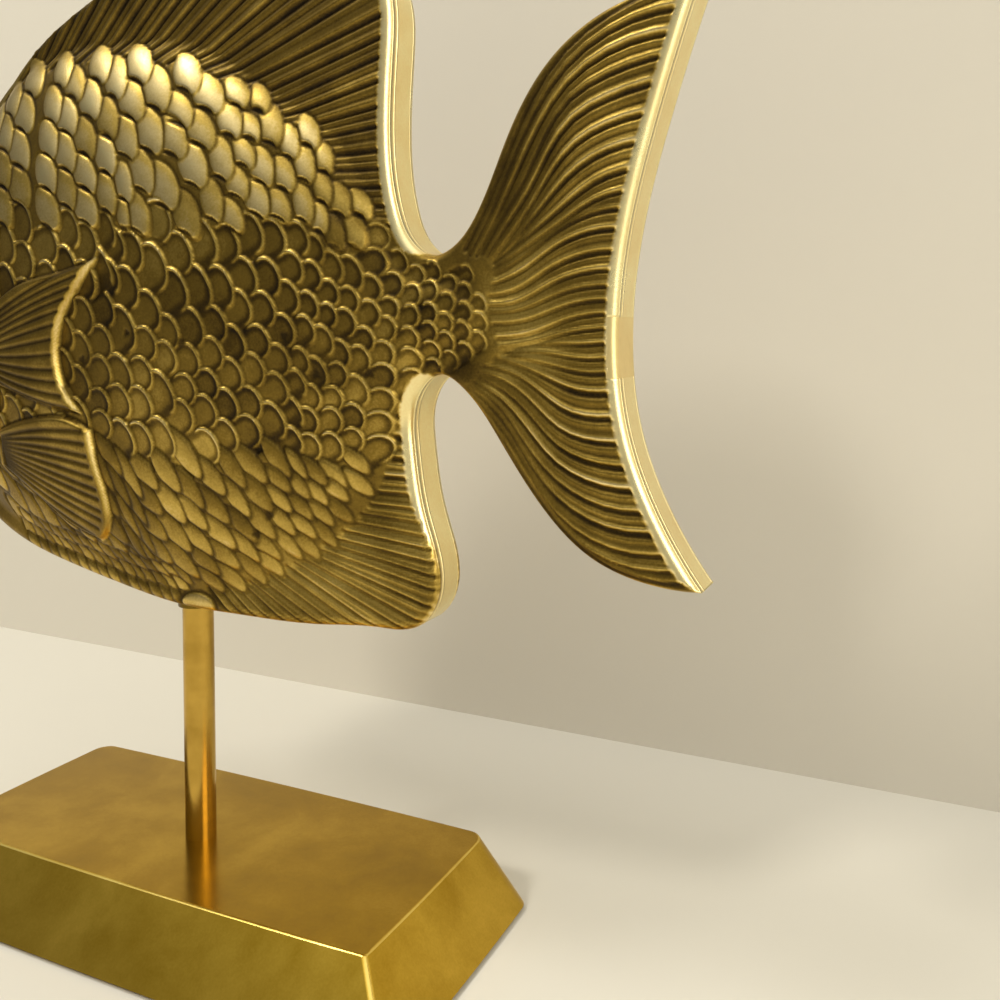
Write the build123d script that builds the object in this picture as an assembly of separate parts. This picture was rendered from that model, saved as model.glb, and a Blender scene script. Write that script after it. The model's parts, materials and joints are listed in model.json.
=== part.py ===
# Cast brass fish on a rod above a hollow rectangular base. Millimetres, +Z up.
# The origin is the centre of the underside that rests on the table. The fish faces -X.
# Its left side faces -Y. The fish turns on the plain pin at the top of the rod.
import math
import os

from build123d import *

os.makedirs("parts", exist_ok=True)

# Overall sizes
fish_length = 280.0
fish_height = 206.0
fin_thickness = 16.0
body_thickness = 46.0
rod_diameter = 9.5
rod_show_length = 73.0
base_height = 17.1
base_top_length = 161.8
base_front_reach = 30.3
base_back_reach = 38.1
base_bevel_run = 15.2
felt_thickness = 1.2

# Walls and edges of the hollow casting
face_wall = 2.5
edge_wall = 4.0
rim_step = 9.0
inset_keep_share = 0.99
edge_round = 2.8
seam_offset = 3.5

# Features raised on the body
gill_raise = 1.4
pectoral_raise = 2.2
pelvic_raise = 1.8
eye_radius = 8.0
eye_raise = 2.0
pupil_radius = 4.2
pupil_raise = 1.6
eye_groove_width = 1.2
eye_groove_depth = 1.0
mouth_height = 1.6
mouth_length = 13.0

# Relief of the casting: main scales of the body and main rays of the fins
scale_raise = 0.9
scale_radius = 7.0
scale_pitch = 16.0
scale_rise_least = 2.0
ray_width = 1.6
ray_depth = 0.7

# Seat of the rod in the belly
bush_diameter = 12.0
bush_length = 34.0
bush_fit = 0.05
pin_diameter = 8.0
pin_length = 30.0
pin_fit = 0.05
pin_end_gap = 1.0
pin_chamfer = 0.8
seat_gap = 0.05
belly_pad_length = 15.0
belly_pad_height = 7.0
boss_wall = 5.0

# Core plug in the edge of the tail
plug_height = 15.0
plug_level = 81.0
plug_cap_depth = 2.5
plug_spigot_past = 1.5
core_hole_height = 11.0
core_hole_width = 7.0
plug_fit = 0.05

# Base casting and its fastening
base_wall = 4.0
base_front_corner_radius = 1.4
base_back_corner_radius = 6.0
base_edge_round = 1.0
base_bow = 1.2
felt_inset = 1.5
rod_hole_fit = 0.2
thread_fit = 0.05
thread_diameter = 8.0
thread_chamfer = 0.8
washer_diameter = 24.0
washer_thickness = 1.6
washer_fit = 0.2
spring_washer_diameter = 14.2
spring_washer_thickness = 2.1
spring_washer_slit = 1.4
nut_across_flats = 13.0
nut_height = 6.5
nut_chamfer = 0.7
thread_past_nut = 1.6
slit_lean = 20.0

cut_over = 2.0

# Levels up the rod
base_top = felt_thickness + base_height
fish_level = base_top + rod_show_length
half_fin = fin_thickness / 2
half_body = body_thickness / 2
nut_low = base_top - base_wall - washer_thickness - spring_washer_thickness - nut_height
thread_end = nut_low - thread_past_nut

# Outline of the fish as shares of its length, from the rod, and of its height, from the belly
forehead_shares = [
    (-0.432, 0.396),
    (-0.420, 0.449),
    (-0.396, 0.527),
    (-0.364, 0.619),
    (-0.318, 0.726),
    (-0.250, 0.818),
]
dorsal_shares = [
    (-0.250, 0.818),
    (-0.196, 0.876),
    (-0.134, 0.917),
    (-0.054, 0.959),
    (0.054, 0.988),
    (0.161, 0.978),
    (0.234, 0.936),
    (0.270, 0.862),
    (0.272, 0.784),
    (0.268, 0.677),
    (0.277, 0.575),
    (0.293, 0.530),
    (0.316, 0.512),
    (0.338, 0.523),
    (0.361, 0.560),
    (0.393, 0.653),
    (0.439, 0.748),
    (0.493, 0.796),
    (0.543, 0.818),
    (0.580, 0.842),
]
tail_edge_shares = [
    (0.580, 0.842),
    (0.541, 0.687),
    (0.512, 0.541),
    (0.501, 0.405),
    (0.510, 0.289),
    (0.539, 0.187),
    (0.575, 0.109),
]
tail_under_shares = [
    (0.575, 0.109),
    (0.529, 0.112),
    (0.475, 0.137),
    (0.429, 0.192),
    (0.381, 0.283),
    (0.345, 0.342),
    (0.321, 0.357),
    (0.300, 0.333),
    (0.294, 0.260),
    (0.305, 0.172),
    (0.319, 0.105),
    (0.316, 0.056),
    (0.296, 0.023),
    (0.250, 0.014),
    (0.179, 0.006),
    (0.071, 0.003),
    (0.000, 0.005),
    (-0.089, 0.023),
    (-0.179, 0.048),
    (-0.268, 0.087),
    (-0.332, 0.148),
    (-0.382, 0.235),
    (-0.414, 0.323),
    (-0.432, 0.396),
]

# Swell of the body: place along the length, underside, top, and thickness
swell_shares = [
    (-0.418, 0.347, 0.439, 0.391),
    (-0.386, 0.255, 0.549, 0.609),
    (-0.321, 0.148, 0.714, 0.826),
    (-0.232, 0.075, 0.842, 0.957),
    (-0.136, 0.041, 0.876, 1.000),
    (-0.036, 0.019, 0.871, 0.983),
    (0.054, 0.012, 0.842, 0.913),
    (0.125, 0.036, 0.784, 0.809),
    (0.196, 0.075, 0.726, 0.687),
    (0.254, 0.158, 0.619, 0.583),
    (0.282, 0.255, 0.536, 0.522),
    (0.311, 0.354, 0.502, 0.478),
    (0.350, 0.352, 0.502, 0.435),
    (0.379, 0.367, 0.488, 0.391),
]

# Gill cover, and the two fins that lie on the body
gill_front_shares = [
    (-0.282, 0.160),
    (-0.338, 0.260),
    (-0.378, 0.400),
    (-0.370, 0.550),
    (-0.334, 0.675),
    (-0.290, 0.740),
]
gill_rear_shares = [
    (-0.290, 0.740),
    (-0.243, 0.614),
    (-0.221, 0.493),
    (-0.218, 0.371),
    (-0.236, 0.265),
    (-0.282, 0.160),
]
pectoral_top_shares = [
    (-0.225, 0.450),
    (-0.175, 0.487),
    (-0.120, 0.501),
    (-0.061, 0.520),
]
pectoral_rear_shares = [
    (-0.061, 0.520),
    (-0.089, 0.474),
    (-0.110, 0.432),
    (-0.118, 0.388),
    (-0.114, 0.340),
    (-0.091, 0.294),
]
pectoral_under_shares = [
    (-0.091, 0.294),
    (-0.140, 0.303),
    (-0.190, 0.320),
    (-0.230, 0.335),
]
pelvic_top_shares = [
    (-0.228, 0.262),
    (-0.160, 0.285),
    (-0.110, 0.286),
    (-0.080, 0.268),
]
pelvic_rear_shares = [
    (-0.080, 0.268),
    (-0.076, 0.220),
    (-0.069, 0.160),
    (-0.073, 0.128),
    (-0.095, 0.097),
]
pelvic_under_shares = [
    (-0.095, 0.097),
    (-0.140, 0.120),
    (-0.185, 0.160),
    (-0.235, 0.205),
]
eye_place_shares = (-0.336, 0.524)
mouth_level_share = 0.396

# Field of the main scales: ends along the fish, and the stretch behind the two low fins
scale_start_share = -0.165
scale_end_share = 0.350
side_fin_end_share = -0.045
side_fin_low_share = 0.080
side_fin_high_share = 0.545

# Main rays of the back fin, the fin under the tail and the tail
ray_shares = [
    [(-0.164, 0.850), (-0.148, 0.879)],
    [(-0.107, 0.845), (-0.045, 0.932)],
    [(-0.043, 0.840), (0.071, 0.966)],
    [(0.018, 0.820), (0.161, 0.952)],
    [(0.064, 0.796), (0.232, 0.908)],
    [(0.107, 0.767), (0.257, 0.825)],
    [(0.154, 0.723), (0.259, 0.759)],
    [(0.189, 0.689), (0.257, 0.699)],
    [(0.218, 0.646), (0.255, 0.646)],
    [(0.257, 0.184), (0.305, 0.181)],
    [(0.221, 0.136), (0.307, 0.127)],
    [(0.186, 0.107), (0.307, 0.073)],
    [(0.129, 0.066), (0.250, 0.029)],
    [(0.375, 0.510), (0.404, 0.578), (0.436, 0.641), (0.461, 0.684), (0.493, 0.704), (0.536, 0.716)],
    [(0.382, 0.495), (0.414, 0.521), (0.452, 0.551), (0.484, 0.578), (0.520, 0.590)],
    [(0.379, 0.450), (0.404, 0.453), (0.436, 0.476), (0.464, 0.490), (0.497, 0.493)],
    [(0.389, 0.396), (0.425, 0.403), (0.456, 0.418), (0.490, 0.425)],
    [(0.393, 0.383), (0.417, 0.373), (0.444, 0.362), (0.471, 0.354), (0.491, 0.361)],
    [(0.364, 0.351), (0.396, 0.327), (0.421, 0.295), (0.444, 0.262), (0.476, 0.243), (0.510, 0.240)],
    [(0.357, 0.330), (0.379, 0.299), (0.404, 0.257), (0.432, 0.198), (0.456, 0.165), (0.484, 0.146), (0.532, 0.141)],
]


def place(shares, y=0.0):
    """Point of the fish from its shares of length and height."""
    return Vector(shares[0] * fish_length, y, fish_level + shares[1] * fish_height)


def curve(table):
    """Smooth edge through a table of shares."""
    return Spline([place(shares) for shares in table])


def straight(first, last):
    """Straight edge between two share points."""
    return Line(place(first), place(last))


def flat_face(edges):
    """Face in the middle plane of the fish, bounded by edges."""
    return Face(Wire(edges))


def thick(face, half):
    """Solid that reaches half to each side of the middle plane."""
    return extrude(face, amount=half, dir=(0, 1, 0), both=True)


def fish_edges():
    """Edges round the side view of the whole fish, from the snout over the back."""
    tables = (forehead_shares, dorsal_shares, tail_edge_shares, tail_under_shares)
    return [curve(table) for table in tables]


def inset_face(inset):
    """Side view of the fish drawn in by an inset."""
    rim = []
    drawn_in = []
    for edge in fish_edges():
        steps = max(3, round(edge.length / rim_step))
        for step in range(steps):
            share = (step + 0.5) / steps
            inward = Vector(0, 1, 0).cross(edge % share)
            rim.append(edge @ share)
            drawn_in.append(edge @ share + inward * inset)
    clear = [p for p in drawn_in if min((p - q).length for q in rim) > inset * inset_keep_share]
    return Face(Wire(Spline(clear, periodic=True)))


def swell(grow):
    """Body of elliptical sections that stand out of the flat fins; grow thickens it."""
    sections = []
    for along, low, high, thickness in swell_shares:
        half = thickness * half_body
        reach = (high - low) * fish_height / 2
        ratio = (half + grow) / half
        middle = fish_level + (low + high) / 2 * fish_height
        plane = Plane((along * fish_length, 0, middle), x_dir=(0, 1, 0), z_dir=(1, 0, 0))
        sections.append(plane * Ellipse(half + grow, reach * ratio))
    return loft(sections)


def gill_face():
    """Side view of the gill cover and cheek."""
    return flat_face([curve(gill_rear_shares), curve(gill_front_shares)])


def pectoral_face():
    """Side view of the fin behind the gill cover."""
    edges = [curve(pectoral_top_shares), curve(pectoral_rear_shares)]
    edges.append(curve(pectoral_under_shares))
    edges.append(straight(pectoral_under_shares[-1], pectoral_top_shares[0]))
    return flat_face(edges)


def pelvic_face():
    """Side view of the fin low on the belly."""
    edges = [curve(pelvic_top_shares), curve(pelvic_rear_shares)]
    edges.append(curve(pelvic_under_shares))
    edges.append(straight(pelvic_under_shares[-1], pelvic_top_shares[0]))
    return flat_face(edges)


def rod_cylinder(diameter, low, high):
    """Upright cylinder on the axis of the rod between two levels."""
    height = high - low
    at = Pos(0, 0, (low + high) / 2)
    return at * Cylinder(diameter / 2, height)


def raised(face, grow):
    """Part of the body inside a side view, thickened by grow."""
    body = swell(grow)
    left = body & extrude(face, amount=body_thickness, dir=(0, -1, 0))
    right = body & extrude(face, amount=body_thickness, dir=(0, 1, 0))
    return left + right


def body_section_at(along):
    """Underside, top and thickness shares of the body at a place along it."""
    for first, last in zip(swell_shares, swell_shares[1:]):
        if first[0] <= along <= last[0]:
            part = (along - first[0]) / (last[0] - first[0])
            return [a + part * (b - a) for a, b in zip(first[1:], last[1:])]


def body_half_at(shares):
    """Half thickness of the body at a place on its side, 0 off the body."""
    low, high, thickness = body_section_at(shares[0])
    lift = (shares[1] - (low + high) / 2) / ((high - low) / 2)
    return thickness * half_body * math.sqrt(max(0, 1 - lift**2))


def scale_places():
    """Places of the main scales: staggered columns on the open part of the body."""
    places = []
    column_step = scale_pitch * math.sqrt(3) / 2 / fish_length
    row_step = scale_pitch / fish_height
    columns = int((scale_end_share - scale_start_share) / column_step) + 1
    for column in range(columns):
        along = scale_start_share + column * column_step
        for row in range(round(1 / row_step)):
            lift = (row + column % 2 / 2) * row_step
            behind_fins = along < side_fin_end_share and side_fin_low_share < lift < side_fin_high_share
            if not behind_fins and body_half_at((along, lift)) > half_fin + scale_rise_least:
                places.append((along, lift))
    return places


def scale_ball(shares, side):
    """Ball sunk in the body, whose cap is one scale."""
    low, high, thickness = body_section_at(shares[0])
    half = thickness * half_body
    reach = (high - low) / 2 * fish_height
    lift = (shares[1] - (low + high) / 2) * fish_height
    level = body_half_at(shares)
    outward = Vector(0, side * level / half**2, lift / reach**2).normalized()
    surface = place(shares, side * level)
    return Pos(surface - outward * (scale_radius - scale_raise)) * Sphere(scale_radius)


def scales():
    """Main scales on both sides of the body."""
    return [scale_ball(shares, side) for shares in scale_places() for side in (-1, 1)]


def ray_strip(shares, y):
    """Narrow strip along a ray, in a plane at y."""
    points = [place(p, y) for p in shares]
    one_side = []
    other_side = []
    for number, point in enumerate(points):
        before = points[max(number - 1, 0)]
        after = points[min(number + 1, len(points) - 1)]
        aside = (after - before).normalized().cross(Vector(0, 1, 0)) * ray_width / 2
        one_side.append(point + aside)
        other_side.append(point - aside)
    return make_face(Polyline(one_side + other_side[::-1], close=True))


def rays():
    """Grooves of the main rays in both faces of the fins."""
    cutters = []
    for side in (-1, 1):
        floor = side * (half_fin - ray_depth)
        for shares in ray_shares:
            strip = ray_strip(shares, floor)
            cutters.append(extrude(strip, amount=ray_depth + cut_over, dir=(0, side, 0)))
    return cutters


def eye(side):
    """Raised eye ring with a groove and a domed pupil, on one side of the head."""
    surface = body_half_at(eye_place_shares) + gill_raise
    level = surface + eye_raise
    across = Plane(place(eye_place_shares), x_dir=(1, 0, 0), z_dir=(0, side, 0))
    ring = across * Pos(0, 0, level / 2) * Cylinder(eye_radius, level)
    rims = ring.edges().filter_by(GeomType.CIRCLE).sort_by(Axis.Y)
    ring = fillet(rims[-1] if side > 0 else rims[0], eye_raise / 2)
    groove = Circle(pupil_radius + eye_groove_width) - Circle(pupil_radius)
    ring -= across * Pos(0, 0, level) * extrude(groove, amount=-eye_groove_depth)
    ball_radius = (pupil_radius**2 + pupil_raise**2) / (2 * pupil_raise)
    cap = Pos(0, 0, pupil_raise - ball_radius) * Sphere(ball_radius)
    cap &= Pos(0, 0, ball_radius) * Box(2 * ball_radius, 2 * ball_radius, 2 * ball_radius)
    return ring + across * Pos(0, 0, level) * cap


def mouth():
    """Slot between the lips, cut through the snout."""
    snout = place(forehead_shares[0]).X
    level = place((0, mouth_level_share)).Z
    outer = snout - cut_over
    inner = snout + mouth_length - mouth_height / 2
    slot = Pos((outer + inner) / 2, 0, level) * Box(inner - outer, fin_thickness * 2, mouth_height)
    end = Pos(inner, 0, level) * Rot(90, 0, 0) * Cylinder(mouth_height / 2, fin_thickness * 2)
    return slot + end


def belly_pad():
    """Plain lump under the belly that the rod meets."""
    middle = fish_level + belly_pad_height / 2
    lump = Pos(0, 0, middle) * Box(belly_pad_length, fin_thickness, belly_pad_height)
    return fillet(lump.edges().filter_by(Axis.Z), edge_round)


def fish_outside(silhouette):
    """Outer shape of both halves together."""
    slab = thick(silhouette, half_fin)
    rims = [edge for edge in slab.edges() if abs(edge.center().Y) > half_fin - edge_round / 2]
    slab = fillet(rims, edge_round) - rays()
    shape = slab + swell(0) + scales()
    shape += raised(gill_face(), gill_raise)
    shape += raised(pectoral_face(), pectoral_raise)
    shape += raised(pelvic_face(), pelvic_raise)
    shape += belly_pad()
    shape += eye(1) + eye(-1)
    return shape - mouth()


def fish_hollow():
    """Space that the sand core leaves inside the casting."""
    space = thick(inset_face(edge_wall), half_fin - face_wall) + swell(-face_wall)
    solid_end = place(forehead_shares[0]).X + mouth_length + edge_wall
    length = solid_end - place(forehead_shares[0]).X + cut_over
    middle = Vector(solid_end - length / 2, 0, fish_level + fish_height / 2)
    space -= Pos(middle) * Box(length, body_thickness, fish_height)
    boss_top = fish_level + bush_length + boss_wall
    boss = rod_cylinder(bush_diameter + 2 * boss_wall, fish_level, boss_top)
    return space - boss


def tail_block(height, width, start, depth):
    """Block across the tail edge at the plug, from a start depth to a depth inside the edge."""
    edge = place(tail_edge_shares[3]).X
    middle = edge - (start + depth) / 2
    return Pos(middle, 0, fish_level + plug_level) * Box(depth - start, width, height)


def core_plug(outside):
    """Patch that closes the core hole: a cap flush with the edge and a spigot behind it."""
    wide = fin_thickness + 2 * cut_over
    cap = outside & tail_block(plug_height, wide, -cut_over, plug_cap_depth)
    spigot_end = edge_wall + plug_spigot_past
    return cap + tail_block(core_hole_height, core_hole_width, plug_cap_depth, spigot_end)


def plug_seat():
    """Recess and hole in both halves for the plug."""
    wide = fin_thickness + 2 * cut_over
    recess = tail_block(plug_height + 2 * plug_fit, wide, -cut_over, plug_cap_depth + plug_fit)
    hole_depth = edge_wall + cut_over
    hole_height = core_hole_height + 2 * plug_fit
    return recess + tail_block(hole_height, core_hole_width + 2 * plug_fit, 0, hole_depth)


def bush_seat():
    """Blind bore in the belly for the bush."""
    top = fish_level + bush_length + bush_fit
    return rod_cylinder(bush_diameter + 2 * bush_fit, fish_level - cut_over, top)


def left_side():
    """Space on the left of the seam, much larger than the fish."""
    depth = body_thickness
    middle = Vector(0, -seam_offset - depth / 2, fish_level + fish_height / 2)
    return Pos(middle) * Box(2 * fish_length, depth, 2 * fish_height)


def bush():
    """Plain bush that holds the pin of the rod."""
    body = rod_cylinder(bush_diameter, fish_level, fish_level + bush_length)
    top = fish_level + pin_length + pin_end_gap
    return body - rod_cylinder(pin_diameter + 2 * pin_fit, fish_level - cut_over, top)


def rod():
    """Rod with a plain pin above its shoulder and a thread below its foot."""
    shoulder = fish_level - seat_gap
    pin = rod_cylinder(pin_diameter, shoulder, fish_level + pin_length)
    pin = chamfer(pin.edges().sort_by(Axis.Z)[-1], pin_chamfer)
    thread = rod_cylinder(thread_diameter, thread_end, base_top)
    thread = chamfer(thread.edges().sort_by(Axis.Z)[0], thread_chamfer)
    return rod_cylinder(rod_diameter, base_top, shoulder) + pin + thread


def base_face(half, front, back, level):
    """Rectangle with rounded corners and slightly bowed sides at one level."""
    middle = (back - front) / 2
    end_bow = base_bow * (front + back) / (2 * half)
    corners = [(-half, -front), (half, -front), (half, back), (-half, back)]
    bulges = [(0, -front - base_bow), (half + end_bow, middle)]
    bulges += [(0, back + base_bow), (-half - end_bow, middle)]
    edges = []
    for first, bulge, last in zip(corners, bulges, corners[1:] + corners[:1]):
        edges.append(ThreePointArc([(x, y, level) for x, y in (first, bulge, last)]))
    face = Face(Wire(edges))
    face = fillet(face.vertices().sort_by(Axis.Y)[-2:], base_back_corner_radius)
    return fillet(face.vertices().sort_by(Axis.Y)[:2], base_front_corner_radius)


def base_level_face(level, wall):
    """Cut through the base at a level, drawn in by a wall. The back of the base is upright."""
    slant = base_bevel_run / base_height
    grow = slant * (base_top - level) - wall * math.hypot(1, slant)
    half = base_top_length / 2 + grow
    return base_face(half, base_front_reach + grow, base_back_reach - wall, level)


def base():
    """Hollow casting with sloping sides and a hole for the rod."""
    body = loft([base_level_face(felt_thickness, 0), base_level_face(base_top, 0)], ruled=True)
    rims = [edge for edge in body.edges() if edge.center().Z > base_top - base_edge_round / 2]
    body = fillet(rims, base_edge_round)
    low = base_level_face(felt_thickness - cut_over, base_wall)
    high = base_level_face(base_top - base_wall, base_wall)
    body -= loft([low, high], ruled=True)
    hole = rod_cylinder(thread_diameter + 2 * rod_hole_fit, felt_thickness, base_top + cut_over)
    return body - hole


def washer():
    """Flat washer under the top wall of the base."""
    high = base_top - base_wall
    low = high - washer_thickness
    ring = rod_cylinder(washer_diameter, low, high)
    return ring - rod_cylinder(thread_diameter + 2 * washer_fit, low - cut_over, high + cut_over)


def spring_washer():
    """Split ring between the flat washer and the nut."""
    high = base_top - base_wall - washer_thickness
    low = high - spring_washer_thickness
    ring = rod_cylinder(spring_washer_diameter, low, high)
    ring -= rod_cylinder(thread_diameter + 2 * washer_fit, low - cut_over, high + cut_over)
    reach = spring_washer_diameter
    slit = Pos(reach / 2, 0, (low + high) / 2) * Rot(slit_lean, 0, 0)
    return ring - slit * Box(reach, spring_washer_slit, spring_washer_thickness + 2 * cut_over)


def nut():
    """Hexagon nut on the thread."""
    prism = extrude(RegularPolygon(nut_across_flats / 2, 6, major_radius=False), nut_height)
    prism = Pos(0, 0, nut_low) * prism
    across_corners = nut_across_flats / math.cos(math.pi / 6)
    barrel = rod_cylinder(across_corners, nut_low, nut_low + nut_height)
    prism &= chamfer(barrel.edges().filter_by(GeomType.CIRCLE), nut_chamfer)
    bore = thread_diameter + 2 * thread_fit
    return prism - rod_cylinder(bore, nut_low - cut_over, nut_low + nut_height + cut_over)


def felt_pad():
    """Felt glued to the rim of the base."""
    return extrude(base_level_face(felt_thickness, felt_inset), amount=-felt_thickness)


silhouette = flat_face(fish_edges())
outside = fish_outside(silhouette)
hollow = fish_hollow()


def fish_half(solid):
    """One half of the casting, cut for the bush and the plug and hollowed."""
    return solid - bush_seat() - plug_seat() - hollow


pieces = {
    "fish_left_half": fish_half(outside & left_side()),
    "fish_right_half": fish_half(outside - left_side()),
    "tail_core_plug": core_plug(outside),
    "belly_bush": bush(),
    "rod": rod(),
    "base": base(),
    "flat_washer": washer(),
    "spring_washer": spring_washer(),
    "hex_nut": nut(),
    "felt_pad": felt_pad(),
}
for name, shape in pieces.items():
    export_step(shape, f"parts/{name}.step")
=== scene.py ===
"""Looks of a cast brass fish on a brass rod and base."""

import json
import math
import random

import bpy
import numpy as np
from mathutils import Matrix, Vector
from mathutils.geometry import delaunay_2d_cdt
from mathutils.kdtree import KDTree


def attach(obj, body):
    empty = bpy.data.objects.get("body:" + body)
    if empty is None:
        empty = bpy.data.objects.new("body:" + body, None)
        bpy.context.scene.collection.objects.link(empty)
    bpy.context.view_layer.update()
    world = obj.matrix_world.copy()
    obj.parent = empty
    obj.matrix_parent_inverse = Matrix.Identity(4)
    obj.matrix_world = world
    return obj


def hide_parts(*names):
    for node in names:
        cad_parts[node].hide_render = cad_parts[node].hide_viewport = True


# Millimetres: x runs to the tail, w is the height above the underside of the fish
MM = 0.001
FISH_LENGTH = 280.0
FISH_HEIGHT = 206.0
# Half thickness of the fins and body, round of the edges, place of the seam
HALF_FIN = 8.0
HALF_BODY = 23.0
EDGE_ROUND = 2.8
SEAM_Y = -3.5
# How far the gill cover and the side fins stand out
GILL_RAISE = 1.4
PECTORAL_RAISE = 2.0
PELVIC_RAISE = 1.7
# Slot of the mouth
MOUTH_LENGTH = 13.0
MOUTH_HEIGHT = 1.6
MOUTH_INSET = 0.35
# Plug in the edge of the tail: the fish stays a little behind its faces, so that it shows
PLUG_LEVEL = 81.0
PLUG_HEIGHT = 15.0
PLUG_START = 138.6
PLUG_PROUD = 0.25
PLUG_SUNK = 0.6
PLUG_BACK = 0.4
# Soft corner where the body meets the fins
JOIN_REACH = 1.2
JOIN_RAISE = 0.3
# Mesh: spacing of its places, rings drawn in from the outline, rows across the edge of each half
GRID = 0.56
RING_DEPTHS = (0.12, 0.45, 0.95, 1.6, 2.3)
LEFT_ROWS, RIGHT_ROWS = 3, 12
# Canvas of relief and tone: its cell, its reach and the cell of its coarse fields
CELL = 0.25
CANVAS_X = (-124, 166)
CANVAS_W = (-3, 208)
COARSE = 1.0

# Side view of the fish, as shares of its length and height
FOREHEAD = [
    (-0.432, 0.396), (-0.42, 0.449), (-0.396, 0.527), (-0.364, 0.619), (-0.318, 0.726), (-0.25, 0.818),
]
BACK = [
    (-0.25, 0.818), (-0.196, 0.876), (-0.134, 0.917), (-0.054, 0.959), (0.054, 0.988),
    (0.161, 0.978), (0.234, 0.936), (0.27, 0.862), (0.272, 0.784), (0.268, 0.677),
    (0.277, 0.575), (0.293, 0.53), (0.316, 0.512), (0.338, 0.523), (0.361, 0.56),
    (0.393, 0.653), (0.439, 0.748), (0.493, 0.796), (0.543, 0.818), (0.58, 0.842),
]
TAIL_EDGE = [
    (0.58, 0.842), (0.541, 0.687), (0.512, 0.541), (0.501, 0.405),
    (0.51, 0.289), (0.539, 0.187), (0.575, 0.109),
]
UNDERSIDE = [
    (0.575, 0.109), (0.529, 0.112), (0.475, 0.137), (0.429, 0.192), (0.381, 0.283),
    (0.345, 0.342), (0.321, 0.357), (0.3, 0.333), (0.294, 0.26), (0.305, 0.172),
    (0.319, 0.105), (0.316, 0.056), (0.296, 0.023), (0.25, 0.014), (0.179, 0.006),
    (0.071, 0.003), (0.0, 0.005), (-0.089, 0.023), (-0.179, 0.048), (-0.268, 0.087),
    (-0.332, 0.148), (-0.382, 0.235), (-0.414, 0.323), (-0.432, 0.396),
]

# Body sections: place along the fish, lowest and highest share, half thickness share
SWELL = [
    (-0.418, 0.347, 0.439, 0.391), (-0.386, 0.255, 0.549, 0.609), (-0.321, 0.148, 0.714, 0.826),
    (-0.232, 0.075, 0.842, 0.957), (-0.136, 0.041, 0.876, 1.0), (-0.036, 0.019, 0.871, 0.983),
    (0.054, 0.012, 0.842, 0.913), (0.125, 0.036, 0.784, 0.809), (0.196, 0.075, 0.726, 0.687),
    (0.254, 0.158, 0.619, 0.583), (0.282, 0.255, 0.536, 0.522), (0.311, 0.354, 0.502, 0.478),
    (0.35, 0.352, 0.502, 0.435), (0.379, 0.367, 0.488, 0.33),
]

# Gill cover, fin behind it and fin low on the belly
GILL_FRONT = [(-0.282, 0.16), (-0.338, 0.26), (-0.378, 0.4), (-0.37, 0.55), (-0.334, 0.675), (-0.29, 0.74)]
GILL_REAR = [
    (-0.29, 0.74), (-0.243, 0.614), (-0.221, 0.493), (-0.218, 0.371), (-0.236, 0.265), (-0.282, 0.16),
]
PECTORAL_TOP = [(-0.225, 0.45), (-0.175, 0.487), (-0.12, 0.501), (-0.061, 0.52)]
PECTORAL_REAR = [
    (-0.061, 0.52), (-0.089, 0.474), (-0.11, 0.432), (-0.118, 0.388), (-0.114, 0.34), (-0.091, 0.294),
]
PECTORAL_UNDER = [(-0.091, 0.294), (-0.14, 0.303), (-0.19, 0.32), (-0.23, 0.335)]
PELVIC_TOP = [(-0.228, 0.262), (-0.16, 0.285), (-0.11, 0.286), (-0.08, 0.268)]
PELVIC_REAR = [(-0.08, 0.268), (-0.076, 0.22), (-0.069, 0.16), (-0.073, 0.128), (-0.095, 0.097)]
PELVIC_UNDER = [(-0.095, 0.097), (-0.14, 0.12), (-0.185, 0.16), (-0.235, 0.205)]
EYE = (-0.336, 0.524)
EYE_RADIUS = 8.0
EYE_RAISE = 2.0
PUPIL_RADIUS = 4.2
PUPIL_RAISE = 1.6
EYE_GROOVE = 1.2
EYE_ROUND = 1.6
# Gill cover's ribs, the bar in front of them, lips and nostril
GILL_CENTRE = (-0.315, 0.43)
GILL_RIBS = 15
RIB_POINTS = 8
GILL_BAR = [(-0.296, 0.66), (-0.272, 0.55), (-0.268, 0.43), (-0.285, 0.32), (-0.325, 0.25)]
LIPS = [(-0.425, 0.43), (-0.405, 0.425), (-0.392, 0.4), (-0.402, 0.37), (-0.418, 0.35)]
NOSTRIL = [(-0.392, 0.492), (-0.387, 0.497)]

# Foot of the dorsal rays, and the slope of each ray in degrees
DORSAL_FOOT = [
    (-68, 166.5, 60), (-55, 172.0, 54), (-40, 174.0, 48), (-17, 172.5, 42), (0, 169.5, 35),
    (12, 167.0, 29), (21, 162.0, 22), (30, 157.5, 16), (42, 149.0, 15), (52, 142.0, 7),
    (60, 133.0, 1), (67, 124.0, -1), (74, 113.5, -3),
]
DORSAL_RAYS = 27
# Where the dorsal rays stop, how far they start below their foot, and their greatest length
DORSAL_REAR = 87.0
DORSAL_ROOT = 6.0
DORSAL_REACH = 75.0
# Foot and end of the anal rays
ANAL_GUIDES = [
    ((79, 62), (82, 62)), ((76.5, 51), (85, 50.5)), ((73.5, 41.5), (88, 41.7)), ((69, 35.5), (90, 34.5)),
    ((64, 30.5), (91, 28)), ((58.5, 26), (92, 21.5)), ((53, 23), (92, 14.5)), ((48, 19.5), (84, 6.5)),
    ((43, 17), (70, 4)), ((37, 14), (59, 2.8)), ((30, 11.3), (50, 1)),
    ((24, 9.8), (38, 0)), ((18, 8.9), (29, 0)),
    ((12, 7.5), (21, -1)),
]
ANAL_RAYS = 25
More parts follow.
